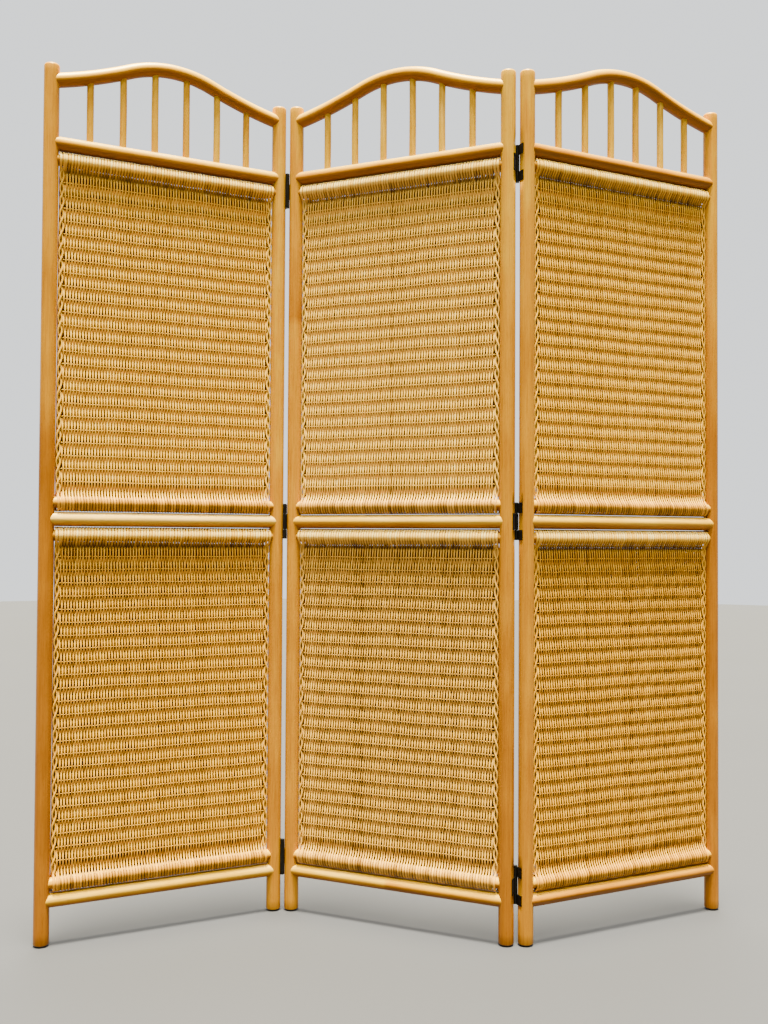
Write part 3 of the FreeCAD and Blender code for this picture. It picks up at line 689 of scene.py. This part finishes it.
# a border's twisted pair, in metres: middle in from the mat's edge, swing across and through the mat
TWIST_MIDDLE, TWIST_ACROSS, TWIST_THROUGH = 0.0047, 0.0037, 0.0008
TWIST_RINGS = 8
# upright strands behind a twisted pair, in from the mat's edge
EDGE_STRANDS = (0.0013, 0.0047, 0.0081, 0.0115)
# distance from a pole's axis where edge strands start to fall behind the pair, and the height that it takes
EDGE_START, EDGE_EASE = 0.016, 0.03
STAKE_SIDES, STAKE_RINGS = 8, 24
# how strands differ: place in metres, share of the width, and tone
PLACE_SPREAD, WIDTH_SPREAD, TONE_SPREAD = 0.00012, 0.03, 0.14
# how much paler than the weave stakes and twisted pairs are, painted light for the light on their tops,
# and how far tones differ there and at the edges
STAKE_PALER, TWIST_PALER, STAKE_SPREAD, TWIST_SPREAD, EDGE_SPREAD = 0.1, 0.4, 0.08, 0.1, 0.08
# tone of the strands on the rolls, at the edges, and in each panel's upper and lower weave; the rolls' paler
# tone is painted light for the light their fronts catch, and the lower weave's deeper tone is painted shade,
# for the dimmer light low on the screen
ROLL_TONE, EDGE_TONE = -0.3, 0.4
MAT_TONES = {"left": (0.42, 0.80), "centre": (0.40, 0.90), "right": (0.58, 0.95)}
# painted light: how far each panel's core colour is moved to cream, most on the centre panel, whose turned
# face takes a cooler light
MAT_CREAM_SHIFTS = {"left": 0.05, "centre": 0.16, "right": 0.03}
# painted shade and light: how much brown is painted on strands against a stake and on edge strands behind the
# twisted pairs, where shade falls, and how much paler faces turned to the sky are painted on rolls and weave
STAKE_CREVICE_SHADE, EDGE_PAIR_SHADE, ROLL_SKY_LIGHT, WEAVE_SKY_LIGHT = 1.9, 1.3, 0.2, 1.8


class SCREEN_OT_mats(bpy.types.Operator):
    """Woven mats: upright strands over and under stakes, wound round the poles, with twisted side borders"""
    bl_idname = "rattan_screen.mats"
    bl_label = "Woven mats"

    def execute(self, context):
        s = sizes()
        for p, panel in enumerate(PANELS):
            material = rattan_core(panel, MAT_CREAM_SHIFTS[panel])
            for m, mat in enumerate(MATS):
                self.weave(s, panel, mat, MAT_TONES[panel][m], 2 * p + m, material)
        return {"FINISHED"}

    def weave(self, s, panel, mat, tone, seed, material):
        """One mat: two sets of strands, which take turns in front, the stakes, and the borders."""
        random = np.random.default_rng(100 + seed)
        top, bottom = pole_heights(s, panel, mat)
        node = f"{panel}_{mat}"
        put = (material, f"{panel}_panel", [node], "woven_rattan_core")
        y, z, hold, lean, brown = strand_path(s, top, bottom)
        swing = (s.stake_diameter + s.strand_thickness) / 2
        first, last = s.mat_edge + s.strand_inset, SPAN - s.mat_edge - s.strand_inset
        places = np.linspace(first, last, s.strand_count)
        places = places + random.normal(0, PLACE_SPREAD, s.strand_count)
        stretch = random.normal(1, WIDTH_SPREAD, s.strand_count).clip(0.95, 1.06)
        tones = random.normal(0, TONE_SPREAD, s.strand_count)
        slope = np.gradient(y) / np.hypot(np.gradient(y), np.gradient(z))
        for offset, label in ((0, "front_strands"), (1, "back_strands")):
            sign = 1 - 2 * offset
            behind = hold * (sign * y / swing).clip(-1, 1)
            rise = hold * (-3 * sign * slope).clip(-1, 1)
            width = s.roll_width + hold * (s.strand_width + s.strand_spread * behind - s.roll_width)
            oval, run, back, sky = carry(sign * y, z, width, s.strand_thickness)
            # painted shade and light: the faces that lie against the stakes and the neighbours are painted
            # brown, where shade falls, and faces turned to the sky are painted paler
            deep = (behind - 0.5 * rise).clip(0, 1)[:, None]
            crevice = np.maximum(STAKE_CREVICE_SHADE * (-back * deep).clip(0, 1),
                                 side_shade() * (1 + behind.clip(0, 1))[:, None])
            # the rolls' painted shade is added to the tone here
            shade = ROLL_TONE + hold * (tone - ROLL_TONE) + brown
            shade = shade[:, None] + crevice - (ROLL_SKY_LIGHT + WEAVE_SKY_LIGHT * hold[:, None]) * sky
            x = places[offset::2, None, None]
            rings = np.broadcast_to(oval, (len(x), *oval.shape)).copy()
            slant = sign * lean * (last - first) / (s.strand_count - 1) / 2
            rings[..., 0] = rings[..., 0] * stretch[offset::2, None, None] + x + slant[:, None]
            fibre = np.stack(np.broadcast_arrays(rings[..., 0], oval[..., 1] - (sign * y)[:, None],
                                                 run[:, None] + 0.37 * np.arange(len(x))[:, None, None]), -1)
            add_tubes(f"{node}_{label}", stand(panel, loosen(rings, top, bottom, seed)), fibre,
                      tones[offset::2, None, None] + shade, *put)
        self.stakes(s, panel, node, top, bottom, tone, seed, random, put)
        self.border(s, panel, node, top, bottom, tone, seed, random, put)

    def stakes(self, s, panel, node, top, bottom, tone, seed, random, put):
        """Straight canes across the mat, one a row: place along and angle are the grid."""
        angles = angles_round(STAKE_SIDES)
        inset = s.mat_edge + s.stake_inset
        x = np.linspace(inset, SPAN - inset, STAKE_RINGS)[:, None]
        heights = np.linspace(top - s.first_stake, bottom + s.first_stake, s.stake_count)[:, None, None]
        r = s.stake_diameter / 2
        rings = np.stack(np.broadcast_arrays(x, r * np.cos(angles), heights + r * np.sin(angles)), -1)
        fibre = np.stack(np.broadcast_arrays(r * np.cos(angles), r * np.sin(angles), x + 1.7 * heights), -1)
        # painted light: the stakes are painted paler than the weave
        add_tubes(f"{node}_stakes", stand(panel, loosen(rings, top, bottom, seed)), fibre,
                  tone - STAKE_PALER + random.normal(0, STAKE_SPREAD, (s.stake_count, 1, 1)), *put)

    def border(self, s, panel, node, top, bottom, tone, seed, random, put):
        """At each side two strands twisted together, half a turn for each stake, with plain strands behind.

        Across the mat a twisted strand's place is a cosine of its height and through the mat a sine."""
        reach = s.mat_pole_diameter / 2 + s.strand_thickness
        spacing = (top - bottom - 2 * s.first_stake) / (s.stake_count - 1)
        z = np.linspace(top - reach, bottom + reach, TWIST_RINGS * s.stake_count)
        turn = np.pi * (z - top + s.first_stake) / spacing + np.pi * np.array([[0.5], [1.5]])
        line = np.stack(np.broadcast_arrays(TWIST_MIDDLE + TWIST_ACROSS * np.cos(turn),
                                            TWIST_THROUGH * (np.sin(turn) - 2), z), -1)
        step = np.gradient(line, axis=1)
        step /= np.linalg.norm(step, axis=2, keepdims=True)
        flat = np.cross(step, np.array([0, 1, 0]))
        flat /= np.linalg.norm(flat, axis=2, keepdims=True)
        face = np.cross(flat, step)
        angles = angles_round(STRAND_SIDES)[:, None]
        pair = (line[:, :, None] + s.border_width / 2 * np.cos(angles) * flat[:, :, None]
                + s.strand_thickness / 2 * np.sin(angles) * face[:, :, None])
        both = np.concatenate([pair + np.array([s.mat_edge, 0, 0]),
                               pair * np.array([-1, 1, 1]) + np.array([SPAN - s.mat_edge, 0, 0])])
        fibre = both - np.concatenate([line, line])[:, :, None] * np.array([1, 1, 0])
        # painted light and shade: the twisted pairs are painted paler, and their sides darker where they lie
        # together
        shade = tone - TWIST_PALER + random.normal(0, TWIST_SPREAD, (len(both), 1, 1)) + side_shade()
        add_tubes(f"{node}_border", stand(panel, loosen(both, top, bottom, seed)), fibre, shade, *put)
        y, z, hold, _, brown = strand_path(s, top, bottom)
        # between the rolls the edge strands keep behind the twisted pair
        field = np.clip((np.minimum(top - z, z - bottom) - EDGE_START) / EDGE_EASE, 0, 1)
        width = s.roll_width + hold * (s.border_width - s.roll_width)
        uprights = []
        for number, inset in enumerate(EDGE_STRANDS):
            sign = 1 - 2 * (number % 2)
            oval, run, back, _ = carry(sign * y * (1 - field) + s.edge_depth * field, z, width,
                                       s.strand_thickness)
            x = s.mat_edge + inset
            uprights += [oval + np.array([x, 0, 0]), oval + np.array([SPAN - x, 0, 0])]
        edges = np.stack(uprights)
        fibre = np.stack(np.broadcast_arrays(edges[..., 0], edges[..., 1], run[:, None]), -1)
        # painted shade: the edge strands' front faces are painted brown where they lie behind the twisted
        # pair, added to the rolls' painted shade
        edge_shade_tone = brown[:, None] + EDGE_PAIR_SHADE * field[:, None] * (0.5 - back).clip(0, 1)
        shade = (ROLL_TONE + hold * (EDGE_TONE - ROLL_TONE))[:, None] + np.maximum(edge_shade_tone, side_shade())
        shade = shade + random.normal(0, EDGE_SPREAD, (len(edges), 1, 1))
        add_tubes(f"{node}_edge_strands", stand(panel, loosen(edges, top, bottom, seed)), fibre, shade, *put)


class SCREEN_OT_fittings(bpy.types.Operator):
    """Finishes of the hinges, pins, screws, dowels and glides"""
    bl_idname = "rattan_screen.fittings"
    bl_label = "Fittings"

    def execute(self, context):
        shades = colours()
        # lacquer sprayed on pressed steel: near black and satin, with a little orange peel
        plate, shader = dark_finish("black lacquered hinge steel", shades.steel_black, 0.32, 0.5)
        shader.inputs["Specular IOR Level"].default_value = 0.15
        # turned steel, blackened: dark grey with a dull metal shine
        pin, shader = dark_finish("blackened pin steel", shades.pin_black, 0.28, 0.42)
        shader.inputs["Metallic"].default_value = 1.0
        # nylon from a mould: matt, and a little grey where it is scuffed
        glide, _ = dark_finish("moulded black nylon glide", shades.glide_black, 0.5, 0.7)
        dowel = self.beech()
        finishes = {"plate": plate, "screws": plate, "pins": pin, "glides": glide, "dowels": dowel}
        for name, node in frame["nodes"].items():
            for key, material in finishes.items():
                if key in name:
                    node.data.materials.clear()
                    node.data.materials.append(material)
        return {"FINISHED"}

    def beech(self):
        """Turned beech dowel, left raw: pale pinkish wood with short brown flecks 3 mm long."""
        shades = colours()
        material, tree, shader = new_material("turned beech dowel")
        place = add_node(tree, "ShaderNodeTexCoord").outputs["Object"]
        fleck = add_node(tree, "ShaderNodeTexNoise", {"Scale": 1 / 0.003, "Detail": 2.0}, {"Vector": place})
        shade = add_node(tree, "ShaderNodeValToRGB", None, {"Fac": fleck.outputs["Fac"]},
                         ((0.3, shades.beech_fleck), (0.55, shades.beech_pale)))
        set_inputs(tree, shader, {"Roughness": 0.7}, {"Base Color": shade.outputs[0]})
        return material


FLOOR_RINGS, FLOOR_SIDES = (0.001, 1, 3, 6, 12), 64
# lamps: strength, width in degrees, and the height and side in degrees that each shines from
LAMPS = {"front_sky": (47, 14, 86.0, -90), "front_soft": (4.5, 14, 64, -90), "back_sky": (6, 20, 75, 90)}
# linear colours of the warm lamps and of the pale room
LAMP_COLOUR, ROOM_COLOUR = (1.0, 0.89, 0.50), (0.95, 0.98, 1.0, 1)
# the camera's place in metres, its turn to the left, up and over in degrees, and its lens in millimetres
CAMERA_PLACE, CAMERA_TURN = (-0.0739, -2.2970, 0.8310), (-1.200, 1.322, -0.316)
LENS, SENSOR = 37.535, 36


class SCREEN_OT_stage(bpy.types.Operator):
    """Studio floor, soft light and the camera"""
    bl_idname = "rattan_screen.stage"
    bl_label = "Stage"

    def execute(self, context):
        self.floor()
        self.lights()
        self.camera(context)
        return {"FINISHED"}

    def floor(self):
        """A disc 24 m across, radius and angle its grid, in matt paint with slow clouds 0.6 m across."""
        r, a = np.meshgrid(FLOOR_RINGS, angles_round(FLOOR_SIDES), indexing="ij")
        points = np.stack([r * np.cos(a), r * np.sin(a), 0 * r], -1).reshape(-1, 3)
        index = np.arange(r.size).reshape(r.shape)
        beside = np.roll(index, -1, axis=1)
        faces = np.stack([index[:-1], index[1:], beside[1:], beside[:-1]], -1).reshape(-1, 4)
        mesh = bpy.data.meshes.new("studio_floor")
        mesh.from_pydata(points.tolist(), [], faces.tolist() + [index[0].tolist()])
        material, tree, shader = new_material("painted studio floor")
        place = add_node(tree, "ShaderNodeTexCoord").outputs["Object"]
        cloud = add_node(tree, "ShaderNodeTexNoise", {"Scale": 1 / 0.6, "Detail": 3.0}, {"Vector": place})
        base = np.array(colours().floor)
        shade = add_node(tree, "ShaderNodeValToRGB", None, {"Fac": cloud.outputs["Fac"]},
                         ((0.3, tuple(0.96 * base)), (0.7, tuple(base))))
        set_inputs(tree, shader, {"Roughness": 0.75}, {"Base Color": shade.outputs[0]})
        mesh.materials.append(material)
        floor = bpy.data.objects.new("studio_floor", mesh)
        bpy.context.collection.objects.link(floor)

    def lights(self):
        """Broad soft light from nearly overhead, front and back, in a pale room."""
        world = bpy.data.worlds.new("pale studio")
        world.use_nodes = True
        tree = world.node_tree
        way = add_node(tree, "ShaderNodeTexCoord").outputs["Generated"]
        depth = add_node(tree, "ShaderNodeSeparateXYZ", None, {0: way}).outputs["Y"]
        # the room is pale behind the screen and dimmer in front of it
        glow = add_node(tree, "ShaderNodeMapRange",
                        {"From Min": -0.1, "From Max": 0.6, "To Min": 0.10, "To Max": 1.4}, {"Value": depth})
        set_inputs(tree, tree.nodes["Background"], {"Color": ROOM_COLOUR}, {"Strength": glow.outputs[0]})
        bpy.context.scene.world = world
        for name, (strength, wide, height, side) in LAMPS.items():
            lamp = bpy.data.lights.new(name, "SUN")
            lamp.energy, lamp.angle, lamp.color = strength, np.radians(wide), LAMP_COLOUR
            shown = bpy.data.objects.new(name, lamp)
            shown.rotation_euler = np.radians((90 - height, 0, side + 90))
            bpy.context.collection.objects.link(shown)

    def camera(self, context):
        """Low in front of the centre panel's left part, looking a little up."""
        yaw, pitch, roll = np.radians(CAMERA_TURN)
        right = np.array([np.cos(yaw), np.sin(yaw), 0])
        ahead = np.array([-np.sin(yaw) * np.cos(pitch), np.cos(yaw) * np.cos(pitch), np.sin(pitch)])
        down = np.cross(ahead, right)
        right, down = right * np.cos(roll) + down * np.sin(roll), down * np.cos(roll) - right * np.sin(roll)
        lens = bpy.data.cameras.new("camera")
        lens.lens, lens.sensor_width = LENS, SENSOR
        camera = bpy.data.objects.new("camera", lens)
        turn = Matrix(np.stack([right, -down, -ahead], 1).tolist()).to_4x4()
        camera.matrix_world = Matrix.Translation(CAMERA_PLACE) @ turn
        context.collection.objects.link(camera)
        context.scene.camera = camera


class SCREEN_PT_panel(bpy.types.Panel):
    """Lists the builders and the values that they use"""
    bl_idname = "SCREEN_PT_panel"
    bl_label = "Rattan folding screen"
    bl_space_type = "VIEW_3D"
    bl_region_type = "UI"
    bl_category = "Screen"

    def draw(self, context):
        for builder in BUILDERS:
            self.layout.operator(builder.bl_idname)
        for group in (context.scene.rattan_screen_sizes, context.scene.rattan_screen_colours):
            for key in group.__annotations__:
                self.layout.prop(group, key)


BUILDERS = (SCREEN_OT_stiles, SCREEN_OT_rails, SCREEN_OT_spindles, SCREEN_OT_mats, SCREEN_OT_fittings,
            SCREEN_OT_stage)
CLASSES = (ScreenSizes, ScreenColours, *BUILDERS, SCREEN_PT_panel)


def register():
    for item in CLASSES:
        bpy.utils.register_class(item)
    bpy.types.Scene.rattan_screen_sizes = PointerProperty(type=ScreenSizes)
    bpy.types.Scene.rattan_screen_colours = PointerProperty(type=ScreenColours)


def unregister():
    del bpy.types.Scene.rattan_screen_colours
    del bpy.types.Scene.rattan_screen_sizes
    for item in reversed(CLASSES):
        bpy.utils.unregister_class(item)


def main():
    """Builds every piece in order."""
    register()
    for builder in BUILDERS:
        group, name = builder.bl_idname.split(".")
        getattr(getattr(bpy.ops, group), name)()


if __name__ == "__main__":
    main()
